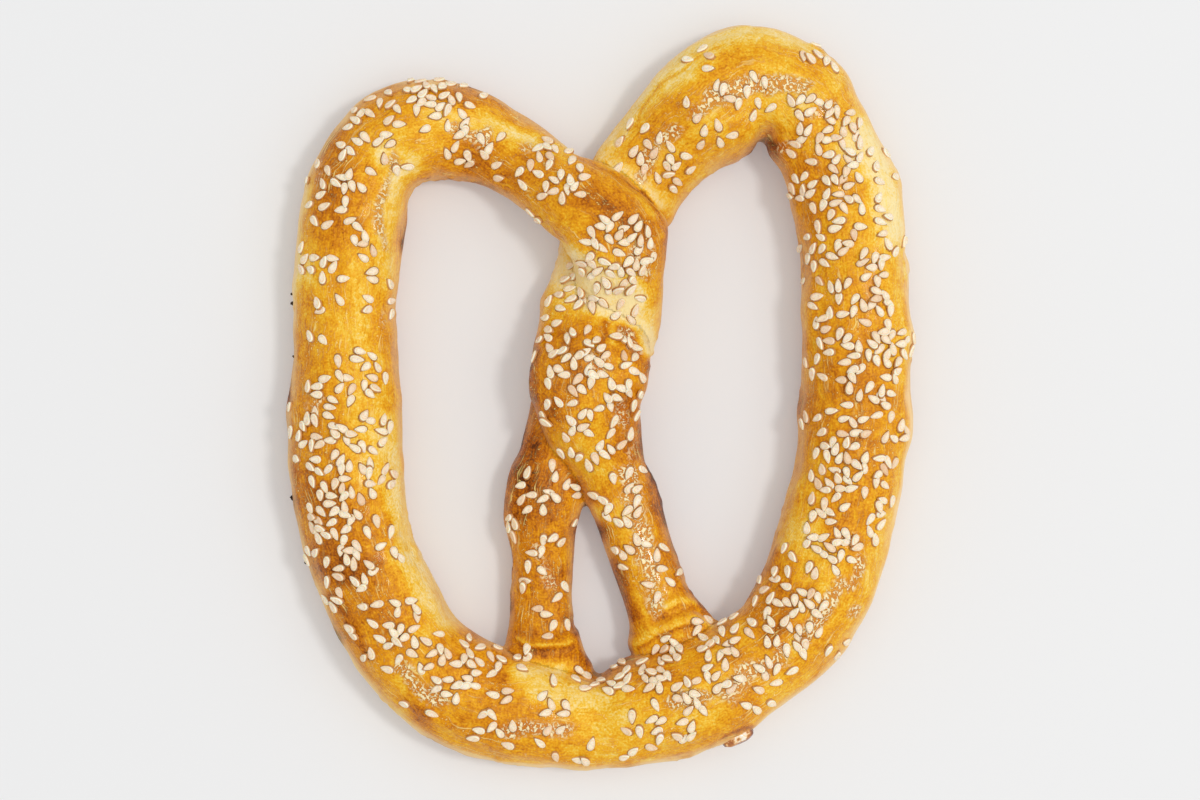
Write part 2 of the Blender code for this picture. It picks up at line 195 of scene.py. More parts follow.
# Streaks over the patches: their course, width, brownness, and how far they stand out.
# The finest ones only show on top.
FINE_STREAK = 1
STREAKS = [
    # Left loop: yellow inner side, pale along the inner edge, which faces the lamps and is partly
    # painted light, browner outside.
    ([(-60, 60), (-62, 50), (-60, 38)], 4, 0.7, 0),
    ([(-53, 29), (-54, 15), (-54, -2), (-52, -18)], 4.4, 0.34, 0),
    ([(-48, -6), (-46, -20), (-42.5, -33), (-38.5, -44), (-35, -50)], 2.8, 0.16, 0),
    ([(-69, 52), (-70.5, 38), (-70, 24)], 3, 0.04, 0),
    ([(-42, 51.5), (-45.5, 49), (-47, 45), (-48, 42)], 2.4, 0.13, 0),
    ([(-48, 42), (-48, 26)], 2.2, 0.26, 0),
    ([(-60, -59), (-53, -67), (-47, -72.5), (-43, -75.5)], 2.4, 0.16, 0),
    ([(-66, 22), (-67, 8), (-66, -8)], 3, 0.55, 0),
    ([(-39, 64), (-28, 62), (-16, 58)], 2.5, 0.22, 0),
    ([(-60, -44), (-56, -51), (-52, -57)], 1.2, 0.8, 0),
    # Crossing: brown band over it, pale where the dough stretched below it.
    ([(-2.5, 44.5), (1, 42.5), (12, 36)], 3.2, 0.74, 0),
    ([(14, 38), (14, 31), (12, 24)], 2.6, 0.56, 0),
    ([(-8.5, 28.5), (-2, 25), (7, 22.5)], 5.4, -0.02, 0),
    ([(-0.5, 20.8), (5.5, 18.4), (9.3, 15.2), (11, 11)], 2.3, -0.04, 0.7),
    ([(4.6, 14.8), (6.4, 12.8), (8.2, 9.4)], 1.0, 0.8, -0.5),
    ([(2.6, 16.4), (2.4, 12.4)], 0.7, 0.3, 0), ([(0.6, 16.4), (0.2, 12.4)], 0.7, 0.76, 0),
    ([(3.5, 52), (9, 48.5), (13, 43.5)], 2.2, 0.1, 0.2),
    ([(-4.3, 54.2), (2.7, 49.9), (9.3, 45.6), (13.1, 41.7), (14.7, 37.5)], 0.7, 0.66, -0.25),
    ([(-15.5, 12), (-16, 0), (-18, -8)], 2.2, 0.78, 0), ([(10.5, 26), (12, 22.5)], 2.2, 0.5, 0),
    # Where the left leg ends: a fold round it, and the bow's dough stretched over it.
    ([(-19, -53), (-13, -53.4), (-6.5, -53)], 0.9, 0.7, -0.2),
    ([(-18.6, -54.8), (-13, -55.2), (-7, -55.3)], 0.4, 0.3, 0.3),
    ([(-18.4, -56.1), (-13, -56.5), (-6.5, -56.3)], 0.6, 0.76, -0.5),
    ([(-15, -57), (-12.5, -57.5)], 1.2, 0.84, -0.3), ([(-10, -57.5), (-6, -58.5)], 1.3, 0.74, 0),
    ([(-18, -61.3), (-12, -61.8), (-9, -61.5)], 2.2, 0.16, 0.3),
    # Where the right leg ends.
    ([(13, -46.6), (17.5, -45.8), (20.5, -46.4)], 0.9, 0.3, 0.3),
    ([(12.5, -49.3), (17.5, -47.9), (22, -48.4), (24.5, -50.5)], 0.9, 0.64, -0.5),
    ([(8, -56), (11.5, -52.8), (16.3, -51), (20.4, -50.4), (24.3, -51)], 1.5, 0.34, 0.5),
    ([(8.6, -56.8), (12.2, -53.8), (16.8, -52.1), (22, -51.6)], 0.4, 0.74, -0.3),
    # Along the right leg's sides.
    ([(3, -38), (6, -48.5)], 2, 0.8, 0), ([(11, -7), (12.5, -18), (14.8, -27)], 2.4, 0.82, 0),
    ([(15.5, -30), (17, -39)], 2, 0.64, 0),
    # Bow.
    ([(-14, -65), (-8, -66.5), (0, -67)], 3.2, 0.2, 0), ([(14, -73), (25, -70)], 3, 0.36, 0),
    ([(27, -76), (31, -74.4), (34, -73.4)], 0.7, 0.78, 0),
    # Right loop: a pale strip outside its top, with a fine brown line beside it.
    ([(1, 56), (5.5, 62), (11.8, 71), (22, 79.8), (31, 81.8), (38, 82), (46, 79.5)], 3.0, 0.17, 0.15),
    ([(8, 61), (13.2, 69.6), (18.5, 73.2), (22.4, 76.6), (27.4, 79)], 0.35, 0.44, -0.15),
    ([(1.5, 61), (10.8, 73), (21.6, 82), (31, 84)], 0.35, 0.7, -0.15),
    # A pale edge along the outer lower right, and a ragged brown one inside it.
    ([(68.5, -14), (66.5, -26), (62.5, -41), (55.5, -53), (46.5, -62), (38, -69)], 1.7, 0.4, 0),
    ([(40, -34), (37.5, -39), (34, -44.5), (28, -47.5)], 1.0, 0.66, 0.3),
    # On its outer side.
    ([(60, 57), (63.5, 49), (65.5, 37)], 4, 0.02, 0), ([(59, 26), (59.5, 16)], 2, 0.52, 0),
    ([(64.5, 29), (66, 20), (67.5, 5)], 3, 0.36, 0), ([(60, -40), (64, -28)], 3, 0.35, 0),
    ([(50, -61), (54, -64)], 2.5, 0.52, 0),
]

# Where the dough's sides swell out or draw in: x, y, radius and how far.
SWELLS = [
    # Left loop.
    (-70, -1.5, 5, 1.2), (-61, 61, 6, -0.7), (-42, 46.5, 5, -1.3), (-32.5, 50, 5, 0.9),
    (-32.5, -49, 5, -1.4), (-15, 60.5, 5, 0.7), (-34, 71.5, 5, -0.8), (-43, -30, 6, -0.8),
    # Crossing and trunk.
    (-15.5, 0.5, 4, 0.9), (-12, 22, 3.5, 0.9), (-10.2, 34, 2, -0.6), (15, 39.5, 4, 1.4),
    (9, 48.5, 4, -0.7), (-5, 55.5, 3, -0.9),
    # Legs.
    (-19.5, -11.5, 4, -0.9), (11, -15.5, 4, -1.0),
    # Bow.
    (-58, -58.5, 6, -1.0), (-21, -55.5, 4, 1.1), (7.3, -56.5, 3, 0.9), (-4, -54.5, 3, -1.2),
    (-2.5, -57.5, 2.5, -1.0), (-1, -63.5, 2.2, -2.0), (1.5, -84, 4, -1.0), (5.5, -60.5, 2.5, 1.0),
    (54, -57, 5, 0.7), (28, -79, 7, -0.9), (39.5, -72, 5, -1.0),
    # Right loop.
    (68.5, -9, 3, 0.3), (44.5, 28, 5, -0.7), (24, -46, 6, -1.3),
    (31.5, -46.5, 3, -0.8), (30.5, 54.5, 4, 0.8), (37.8, 59.5, 2.4, -4), (40.8, 55.5, 2.5, 1.2),
    (34.3, 57.5, 2.4, 0.7), (39.5, 50, 5, -0.9), (43, -15, 5, -0.9), (45, -3.5, 3, 0.8),
    (52, 74, 6, 0.6), (60.5, 66.5, 6, -0.9), (67, 49.5, 5, 0.9), (69.5, -5, 5, 1.1), (70, 14, 4, 1.1),
    (70, 34, 4, -0.8),
]
# The sides may stand this far outside the solid's box.
BEYOND_SOLID = 1.0

# Where the egg wash dried to a finely wrinkled skin, whose crests are painted pale as glints:
# its course, width and strength. Elsewhere it is wrinkled a little in blotches, and all of it is ragged.
WRINKLED = [
    # Left loop.
    ([(-45, 54), (-50, 43), (-48, 33)], 1.6, 0.6), ([(-33, 60.5), (-26, 58)], 2.2, 0.9),
    # Crossing and legs.
    ([(10, 27), (11, 33)], 1.7, 0.6), ([(5, 14), (8, 10)], 1.5, 0.8),
    ([(3, -2), (5, -8), (7, -14)], 2.4, 0.48),
    ([(6, -17), (8.5, -28), (11, -40), (12.5, -46)], 2.7, 0.85),
    ([(-13.5, -34), (-12, -42)], 2.3, 0.52),
    # Bow.
    ([(-45, -61), (-36, -67)], 2.2, 0.9), ([(-21, -74), (-8, -74)], 1.9, 0.9),
    ([(17, -68), (25, -66)], 2.0, 0.85), ([(28, -66), (34, -61), (40, -58)], 2.9, 0.9),
    # Right loop.
    ([(45, -54), (50, -47), (53, -42)], 1.8, 0.9), ([(55, -43), (58, -37)], 1.4, 0.8),
    ([(46, 63), (52, 66)], 1.6, 0.6), ([(24, 66.5), (33, 70), (44, 70)], 2.6, 0.85),
    ([(20, 63), (27, 66)], 2.0, 0.8), ([(12, 56), (17, 60)], 2.6, 0.65),
    ([(9, 50), (11, 54)], 2.0, 0.9),
]
BLOTCHES_WRINKLED, WRINKLED_WIDTH = 0.55, 8
RAGGED, RAGGED_WIDTH = 0.3, 2.5

# Sesame seeds: their size, how deep they sank into the glaze, how unevenly they lie in
# radians, and how toasted they are, as the two shapes of a beta distribution.
SEED_LENGTH, SEED_WIDTH, SEED_THICKNESS = 2.95, 1.54, 0.9
SEED_SEGMENTS = 12
SEED_SUNK = 0.16
SEED_UNEVEN = 0.09
SEED_TOAST = (1.1, 9)
# A seed that lands nearer than this to another rests on it: it is lifted and leans away,
# the most when it lands nearer by the second length.
SEEDS_TOUCH, SEEDS_OVERLIE = 2.7, 0.9
SEED_LIFTED = 0.4
SEED_LEANS = math.radians(15)

# The first sowing is the solid's own, in the same order of draws; the second adds more.
# The share of each handful that is sown, the seeds' gap, and how far the dough has to face
# up where a seed lies.
SEED_SHARE_OF_SOLID, SEED_SHARE_MORE = 0.165, 0.66
SEED_GAP_OF_SOLID, SEED_GAP = 3.4, 1.6
STEEPEST_OF_SOLID, STEEPEST = 0.35, 0.2
DRAWS_PER_SEED = 60

# Handfuls of seeds: x, y, radius and number.
HANDFULS = [
    # Left loop: its right shoulder, its top, and down its outer side.
    (-10, 51, 8.5, 37), (-22.5, 47, 2.5, 3), (-14.3, 41, 2, 3), (-27, 54, 7, 10), (-36, 61.5, 7, 13),
    (-27, 68, 5, 6), (-39, 68, 6, 14), (-51, 63, 7, 23), (-47.5, 53, 5, 6), (-61, 52, 6, 12),
    (-58, 40.5, 8, 14), (-53, 34.8, 4, 8), (-66, 31, 3, 6), (-61, 29.5, 3, 5), (-57, 25.4, 3, 2),
    (-49, 24, 6, 10), (-60, 15, 9, 6), (-54, 4.5, 6, 19), (-64, -1, 6, 12), (-63, -10, 7, 24),
    (-52, -7.5, 5, 13), (-55, -18, 6, 13), (-49, -17, 3.5, 5), (-62, -19, 3, 5), (-59.5, -26.5, 6, 25),
    (-66, -34, 4, 4), (-48.5, -31, 6, 7), (-56, -38.5, 6, 20), (-57, -46.5, 5, 5), (-45.5, -50, 6, 16),
    (-49, -58, 4.5, 7), (-57, -55, 4, 3),
    # Bow, from left to right.
    (-39, -56, 4.5, 9), (-32.5, -61, 6, 18), (-27, -57.5, 5, 13), (-25, -66, 5, 6), (-36.5, -68, 4, 3),
    (-44, -69.5, 3, 2), (-24, -74, 5, 8), (-17.3, -58.5, 2.5, 5), (-11, -64.5, 3, 3),
    (-3.5, -63.5, 2.5, 6), (-9.5, -71, 5, 7), (-13, -78, 4, 3), (-2, -81, 4, 4), (6.5, -76.5, 5.5, 7),
    (17, -71, 6.5, 18), (7, -61.5, 4.5, 14), (12.5, -63, 3, 7), (14, -57, 4, 10), (19.5, -65.5, 3, 5),
    (23.5, -60.5, 3, 3), (26.5, -57.5, 4, 10), (26, -53, 5.5, 13), (28.5, -64, 3.5, 4),
    (35, -67, 3.5, 4), (39, -59.5, 4.5, 8),
    # Right loop, from the bow up to its top.
    (37, -51.5, 4, 7), (43.5, -53, 4.5, 11), (50, -55, 5, 4), (40, -44.5, 5.5, 15), (46, -46.5, 3.5, 7),
    (41, -36, 4, 6), (47, -40.5, 3, 3), (52.5, -34, 4.5, 16), (48, -29, 4, 7), (62, -29, 4, 6),
    (51, -20.5, 5.5, 18), (62, -22, 4, 8), (53.5, -13.5, 5.5, 17), (62.5, -14.5, 3, 6),
    (48.5, -4.5, 3.5, 6), (59, -5, 6, 14), (66.5, -8, 3.5, 6), (60, 6, 7, 29), (51, 5, 4, 3),
    (46.5, 8, 4, 5), (57, 14, 8, 23), (67, 12, 3.5, 8), (47.5, 18, 3, 3), (51.5, 22.5, 4.5, 9),
    (62, 20.8, 3, 8), (48, 28.5, 3.5, 5), (61, 29, 4, 11), (47.5, 36, 3.5, 8), (53, 34.5, 3.5, 4),
    (65, 35, 4, 5), (53, 40.5, 6, 14), (63, 43, 4, 4), (45, 47.5, 3, 11), (52, 46, 4, 7),
    (55, 51, 4, 10), (63, 51, 4, 4), (53, 56, 5, 12), (62, 55.5, 3, 3), (44.5, 54.5, 3.5, 4),
    (54.5, 61, 4, 6), (47.5, 63, 4.5, 12), (49, 76.5, 4.5, 9), (39, 68, 4, 3), (33, 66.5, 5, 9),
    (23, 72, 6, 7), (18, 62.5, 4, 3), (24.5, 57, 5, 6), (16, 51, 4.5, 10), (9, 55, 7, 14),
    # Where the loops cross, the twist, and the two legs.
    (4, 32.5, 8, 44), (-4, 24.5, 6, 20), (5, 21.5, 4.5, 9), (-11.5, 21, 3.5, 4), (-7.5, 9, 8, 38),
    (3, 7, 6.5, 17), (-6, -2, 8, 15), (5, -1, 5, 11), (-4, -11, 5, 9), (5, -13, 6, 12),
    (4, -24, 6.5, 14), (10, -38, 8, 20), (-12, -21, 6.5, 17), (-19.5, -30, 3, 6), (-13, -34, 5.5, 9),
    (-6, -30, 3, 3), (-13, -47, 7, 10),
]

# Handfuls that only the second sowing has.
LOOSE_HANDFULS = [
    (1.8, -64.2, 1.7, 5), (5.3, -63.6, 1.8, 5), (-30.5, 53.2, 1.5, 2), (-38.5, 69, 4.5, 14),
]

# The drop of glaze at the foot of the bow: its middle, size and turn, and how far across
# the uneven ball is that it is made from.
DRIP_MIDDLE = (30.7, -76.3, 11.4)
DRIP_SIZE = (8.2, 4.4, 5.6)
DRIP_TURN = math.radians(27)
BALL_ACROSS = 2.15

# Burnt crumbs that stick to the left side: y, height above the table, and size.
CRUMBS = [
    (23.4, 8.6, 0.7), (21.2, 8.2, 1.0), (9.3, 8.5, 0.6), (-22.6, 8.6, 1.4), (-37.3, 8.4, 0.9),
]
CRUMB_SHAPE = (1.3, 0.95, 0.8)

# The photograph's view, straight down: its middle, the width that it takes in at that
# height, and the lens.
VIEW_MIDDLE = (-0.23, -0.57, 8.5)
VIEW_WIDTH = 271.3
SENSOR = 36
LENS = 100
FLOOR_WIDTH, FLOOR_HEIGHT = 9000, -0.1


def linear(colour):
    """An sRGB hex colour as linear RGBA."""
    channels = [int(colour[i : i + 2], 16) / 255 for i in (0, 2, 4)]
    return (*(c / 12.92 if c <= 0.04045 else ((c + 0.055) / 1.055) ** 2.4 for c in channels), 1)


def noise_at(points, width, seed):
    """Smooth noise from -1 to 1 at each point, with forms of this width."""
    cells = np.asarray(points) / width
    low = np.floor(cells).astype(np.int64)
    part = cells - low
    part = part * part * (3 - 2 * part)
    total = np.zeros(len(cells))
    for corner in itertools.product((0, 1), repeat=cells.shape[1]):
        key = (low + corner) @ np.array([73856093, 19349663, 83492791][: cells.shape[1]])
        key = (key ^ (seed * 668265263)) * 2654435761 & 0xFFFFFFFF
        for shift, factor in ((15, 2246822519), (13, 3266489917)):
            key = (key ^ key >> shift) * factor & 0xFFFFFFFF
        weight = np.prod(np.where(corner, part, 1 - part), axis=1)
        total += weight * ((key ^ key >> 16) / 2**31 - 1)
    return total


def smooth_step(low, high, values):
    t = np.clip((values - low) / (high - low), 0, 1)
    return t * t * (3 - 2 * t)


def lying(stations):
    """Stations of rope on the tray, with the height that its width gives it."""
    return [(x, y, width, width * RISE, 0) for x, y, width in stations]


def eased(before, start, end, after, t):
    """A point of the smooth curve from start to end, t of the way along it."""
    return [
        0.5 * (2 * b + (c - a) * t + (2 * a - 5 * b + 4 * c - d) * t**2 + (3 * b - a - 3 * c + d) * t**3)
        for a, b, c, d in zip(before, start, end, after)
    ]


def rope_stations():
    """The whole rope from the left leg's end to the right leg's, one row for each ring."""
    route = [*LEFT_LEG, *LEFT_OVER_CROSSING, *lying(LEFT_LOOP), *lying(BOW), *lying(RIGHT_LOOP)]
    route += [*RIGHT_UNDER_CROSSING, *RIGHT_LEG]
    smooth = []
    for i in range(len(route) - 1):
        around = [route[max(i - 1, 0)], route[i], route[i + 1], route[min(i + 2, len(route) - 1)]]
        smooth += [eased(*around, step / RINGS_PER_STATION) for step in range(RINGS_PER_STATION)]
    return np.array([*smooth, route[-1]])


def section(width, height):
    """Points round a section of the rope: across it and up, from its flat underside."""
    waist = WAIST * height
    points = []
    for i in range(SIDES):
        angle = math.tau * i / SIDES
        across, up = math.cos(angle), math.sin(angle)
        if up > 0:
            power = 2 / TOP_ROUNDNESS
            rise = waist + (height - waist) * up**power
        else:
            power = 2 / FOOT_ROUNDNESS
            rise = max(0, waist - (waist + SETTLED) * (-up) ** power)
        points.append((width / 2 * math.copysign(abs(across) ** power, across), rise))
    return points


class Rope:
    """The rope's lofted rings, which tell where along and round the rope a point lies."""

    def __init__(self):
        self.stations = rope_stations()
        self.middles = self.stations[:, :2]
        ahead = np.gradient(self.middles, axis=0)
        steps = np.linalg.norm(np.diff(self.middles, axis=0), axis=1)
        self.length_to = np.concatenate([[0], np.cumsum(steps)])
        self.along = ahead / np.linalg.norm(ahead, axis=1, keepdims=True)
        self.across = np.stack([self.along[:, 1], -self.along[:, 0]], axis=1)
        self.loops_start = self.length_to[len(LEFT_LEG + LEFT_OVER_CROSSING) * RINGS_PER_STATION]
        self.loops_end = self.length_to[-len(RIGHT_UNDER_CROSSING + RIGHT_LEG) * RINGS_PER_STATION]
        self.points = np.array([self.ring(i) for i in range(len(self.stations))]).reshape(-1, 3)
        rings = range(len(self.stations) - 1)
        self.faces = [self.side(ring, k) for ring in rings for k in range(SIDES)]
        last = len(self.points) - SIDES
        self.faces += [tuple(range(SIDES))[::-1], tuple(range(last, last + SIDES))]

    def ring(self, i):
        x, y, width, height, lift = self.stations[i]
        return [
            (*(self.middles[i] + self.across[i] * across), max(0, lift) + up)
            for across, up in section(width, height)
        ]

    def side(self, ring, k):
        here, after = ring * SIDES, (ring + 1) * SIDES
        following = (k + 1) % SIDES
        return (here + k, here + following, after + following, after + k)

    def place(self, points):
        """Millimetres along the rope and round it from its top, of points on the skin."""
        surface = BVHTree.FromPolygons(self.points.tolist(), self.faces)
        faces = np.array([surface.find_nearest(point)[2] for point in points.tolist()])
        ring = np.minimum(faces // SIDES, len(self.stations) - 1)
        offset = points[:, :2] - self.middles[ring]
        width, height, lift = self.stations[ring, 2:].T
        across = np.sum(offset * self.across[ring], axis=1)
        up = points[:, 2] - np.maximum(lift, 0) - WAIST * height
        round_it = np.arctan2(across, up) * (width + height) / 4
        return self.length_to[ring] + np.sum(offset * self.along[ring], axis=1), round_it


def new_object(name, data):
    """An object in the scene that shows this mesh, lamp or camera."""
    made = bpy.data.objects.new(name, data)
    bpy.context.scene.collection.objects.link(made)
    return made


def new_piece(name, points, faces):
    """An object with this mesh, whose points are in millimetres."""
    mesh = bpy.data.meshes.new(name)
    mesh.from_pydata((np.asarray(points) * MM).tolist(), [], faces)
    mesh.update()
    mesh.shade_smooth()
    return new_object(name, mesh)


def new_copies(name, copies, faces):
    """One object of many copies of a shape, each with points of its own."""
    starts = range(0, len(copies) * len(copies[0]), len(copies[0]))
    every_face = [tuple(v + start for v in face) for start in starts for face in faces]
    return new_piece(name, np.concatenate(copies), every_face)


def surface_of(piece):
    return BVHTree.FromObject(piece, bpy.context.evaluated_depsgraph_get())


def read(items, field, width, kind=np.float32):
    """A field of all items of a mesh, one row for each."""
    values = np.empty(len(items) * width, kind)
    items.foreach_get(field, values)
    return values.reshape(-1, width)


def points_of(piece):
    return read(piece.data.vertices, "co", 3).astype(float) / MM


def normals_of(piece):
    return read(piece.data.vertex_normals, "vector", 3).astype(float)


def edges_of(piece):
    return read(piece.data.edges, "vertices", 2, np.int32)


def move_to(piece, points):
    piece.data.vertices.foreach_set("co", (points * MM).astype(np.float32).ravel())
    piece.data.update()


def give(piece, name, values):
    """Stores a number or a vector for each point of the piece, for its material."""
    kind, field = ("FLOAT", "value") if values.ndim == 1 else ("FLOAT_VECTOR", "vector")
    attribute = piece.data.attributes.new(name, kind, "POINT")
    attribute.data.foreach_set(field, values.astype(np.float32).ravel())


def evened(values, edges, rounds):
    """Each point's value brought halfway to the mean of its neighbours, again and again."""
    count = np.bincount(edges.ravel(), minlength=len(values))[:, None]
    for _ in range(rounds):
        total = np.zeros_like(values)
        for axis in range(values.shape[1]):
            for here, there in (edges.T, edges.T[::-1]):
                total[:, axis] += np.bincount(here, values[there, axis], len(values))
        values = (values + total / count) / 2
    return values


def applied(piece):
    """Makes what the piece's modifiers show its own mesh."""
    graph = bpy.context.evaluated_depsgraph_get()
    shown = bpy.data.meshes.new_from_object(piece.evaluated_get(graph))
    piece.modifiers.clear()
    old = piece.data
    piece.data = shown
    bpy.data.meshes.remove(old)
    shown.name = piece.name


def keep_outer_skin(piece):
    """Drops the skins of the small hollows that the crossing strands close off."""
    edges = edges_of(piece)
    label = np.arange(len(piece.data.vertices))
    while True:
        lowest = label.copy()
        for here, there in (edges.T, edges.T[::-1]):
            np.minimum.at(lowest, here, label[there])
        lowest = lowest[lowest]
        if (lowest == label).all():
            break
        label = lowest
    skins, sizes = np.unique(label, return_counts=True)
    kept = label == skins[sizes.argmax()]
    number = np.cumsum(kept) - 1
    stay = [face.vertices for face in piece.data.polygons if kept[face.vertices[0]]]
    faces = [[int(number[v]) for v in vertices] for vertices in stay]
    points = points_of(piece)[kept] * MM
    piece.data.clear_geometry()
    piece.data.from_pydata(points.tolist(), [], faces)
    piece.data.update()


def near_point(plan, x, y, radius):
    """1 at this point of the plan, fading out over the radius."""
    return np.exp(-(((plan - (x, y)) ** 2).sum(axis=1)) / radius**2)


def near_streak(plan, course, width):
    """1 along a streak's course, fading out over its width."""
    nearest = np.full(len(plan), np.inf)
    for start, end in zip(np.array(course[:-1], float), np.array(course[1:], float)):
        run = end - start
        t = np.clip((plan - start) @ run / (run @ run), 0, 1)
        nearest = np.minimum(nearest, np.linalg.norm(plan - start - t[:, None] * run, axis=1))
    return np.exp(-((nearest / width) ** 2))


def wavering(points):
    """The points' places in plan, shifted a little, so that no patch has a drawn edge."""
    shift = [noise_at(points, WAVER_WIDTH, 31), noise_at(points, WAVER_WIDTH, 32)]
    return points[:, :2] + WAVER * np.stack(shift, axis=1)


def relief(points, normals, along, around):
    """How far the dough stands out at each point."""
    lumps = LUMP * noise_at(points, LUMP_WIDTH, 1) + DENT * noise_at(points, DENT_WIDTH, 2)
    wandered = around + WANDER * noise_at(points, WANDER_LENGTH, 9)
    strands = np.stack([along / FIBRE_LENGTH, wandered / FIBRE_WIDTH], axis=1)
    shown = smooth_step(-0.5, 0.5, noise_at(points, FIBRES_FADE_WIDTH, 10))
    fibres = FIBRE * noise_at(strands, 1, 3) * shown
    blisters = BLISTER * np.maximum(0, noise_at(points, BLISTER_WIDTH, 4) - 0.45)
    folds = np.zeros(len(points))
    plan = wavering(points)
    for course, width, _, lift in STREAKS:
        if lift:
            folds += lift * near_streak(plan, course, width)
    swells = np.zeros(len(points))
    for x, y, radius, amount in SWELLS:
        swells += amount * near_point(points[:, :2], x, y, radius)
    upright = 1 - np.abs(normals[:, 2])
    above = smooth_step(-0.2, 0.5, normals[:, 2])
    # Where the dough rests on the tray it is flat.
    resting = smooth_step(0.4, 3, points[:, 2])
    torn = ROUGH_SIDE * tearing(points, normals)
    return lumps * resting + (fibres + blisters + folds) * above + (swells * upright + torn) * resting


def tearing(points, normals):
    """Where the crust on the sides is torn to rough crumbs, from 0 to 1."""
    steep = smooth_step(0.55, 0.25, np.abs(normals[:, 2]))
    torn = steep * smooth_step(0, 0.5, noise_at(points, TORN_WIDTH, 14))
    return torn * np.maximum(0, noise_at(points, ROUGH_WIDTH, 13))


def brownness(points, normals, along, around):
    """How far each point of the crust has browned."""
    plan = wavering(points)
    strands = np.stack([along / DRIFT_LENGTH, around / DRIFT_WIDTH], axis=1)
    brown = CRUST_BROWN + DRIFT * noise_at(strands, 1, 5) + BLOTCH * noise_at(points, BLOTCH_WIDTH, 6)
    for x, y, radius, tone in PATCHES:
        brown += (tone - brown) * near_point(plan, x, y, radius)
    facing_up = smooth_step(0.05, 0.3, normals[:, 2])
    for course, width, tone, _ in STREAKS:
        near = near_streak(plan, course, width)
        if width < FINE_STREAK:
            near = near * facing_up
        brown += (tone - brown) * near
    shoulder = smooth_step(0.5, 0.2, normals[:, 2]) * smooth_step(-0.1, 0.15, normals[:, 2])
    in_places = smooth_step(-0.3, 0.7, noise_at(points, SHOULDER_WIDTH, 15))
    brown += SHOULDER_BROWN * shoulder * in_places
    brown += TORN_BROWN * tearing(points, normals)
    below = smooth_step(-0.1, -0.7, normals[:, 2])
    underside = UNDERSIDE_BROWN + UNDERSIDE_BLOTCH * noise_at(points, UNDERSIDE_BLOTCH_WIDTH, 7)
    return brown + (underside - brown) * below


def siding(points, normals, outside):
    """How much each point belongs to the sides, which the egg wash and the heat barely
    reached, least of all outside the loops."""
    steep = smooth_step(0.7, 0.25, normals[:, 2] + 0.16 * noise_at(points, 6, 11))
    height = points[:, 2] + 1.5 * noise_at(points, 7, 16)
    pale = (0.35 + 0.65 * smooth_step(2, 7, height)) * (0.4 + 0.6 * outside)
    return steep * smooth_step(17, 12, height) * pale


def wrinkling(points, normals):
    """How strongly the skin is wrinkled at each point, from 0 to 1; the wrinkles' crests get painted
    glints.
    """
    plan = wavering(points)
    much = BLOTCHES_WRINKLED * smooth_step(0.45, 0.9, noise_at(points, WRINKLED_WIDTH, 12))
    for course, width, strength in WRINKLED:
        much = np.maximum(much, strength * near_streak(plan, course, width))
    above = smooth_step(0.3, 0.7, normals[:, 2])
    return above * smooth_step(0.3, 0.7, much + RAGGED * noise_at(points, RAGGED_WIDTH, 8))


def make_dough(rope):
    """The baked dough as one skin, with its relief and where it browned."""
    dough = new_piece("baked_dough", rope.points, rope.faces)
    grow = dough.modifiers.new("one skin", "REMESH")
    grow.mode = "VOXEL"
    grow.voxel_size = CUBE * MM
    applied(dough)
    keep_outer_skin(dough)
    points = evened(points_of(dough), edges_of(dough), EVENED)
    move_to(dough, points)
    normals = normals_of(dough)
    points = points + normals * relief(points, normals, *rope.place(points))[:, None]
    low, high = (np.array(corner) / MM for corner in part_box("pretzel"))
    points[:, 2] -= SETTLED_SHARE * np.maximum(0, points[:, 2] - SETTLED_ABOVE)
    beyond = np.array([BEYOND_SOLID, BEYOND_SOLID, 0])
    move_to(dough, np.clip(points, low - beyond, high + beyond))
    thin_out = dough.modifiers.new("fewer triangles", "DECIMATE")
    thin_out.ratio = KEPT_TRIANGLES
    applied(dough)
    dough.data.shade_smooth()
    points, normals = points_of(dough), normals_of(dough)
    along, around = rope.place(points)
    hollow = evened(points, edges_of(dough), EVENED_OVER_CREASES) - points
    depth = (hollow * normals).sum(axis=1)
    give(dough, "rope", np.stack([along, around, np.zeros(len(along))], axis=1))
    give(dough, "brown", brownness(points, normals, along, around))
    give(dough, "wrinkled", wrinkling(points, normals))
    # How deep each point lies in a crease, for the painted shade that browns the crust there.
    give(dough, "crease_shade", smooth_step(*CREASE_SHADE_DEPTHS, depth))
    on_loops = (along > rope.loops_start) & (along < rope.loops_end)
    give(dough, "side", siding(points, normals, on_loops * smooth_step(-2, 4, around)))
    return dough


def sow(draw, places, handfuls, share, gap):
    """Strews this share of each handful, with this gap between the seeds."""
    for x, y, radius, number in handfuls:
        sown = 0
        wanted = round(number * share)
        for _ in range(wanted * DRAWS_PER_SEED):
            reach = radius * math.sqrt(draw.random())
            bearing = draw.uniform(0, math.tau)
            place = Vector((x + reach * math.cos(bearing), y + reach * math.sin(bearing)))
            if all((place - other[0]).length > gap for other in places):
                places.append((place, draw.uniform(0, math.tau), draw.uniform(0.9, 1.1)))
                sown += 1
            if sown == wanted:
                break


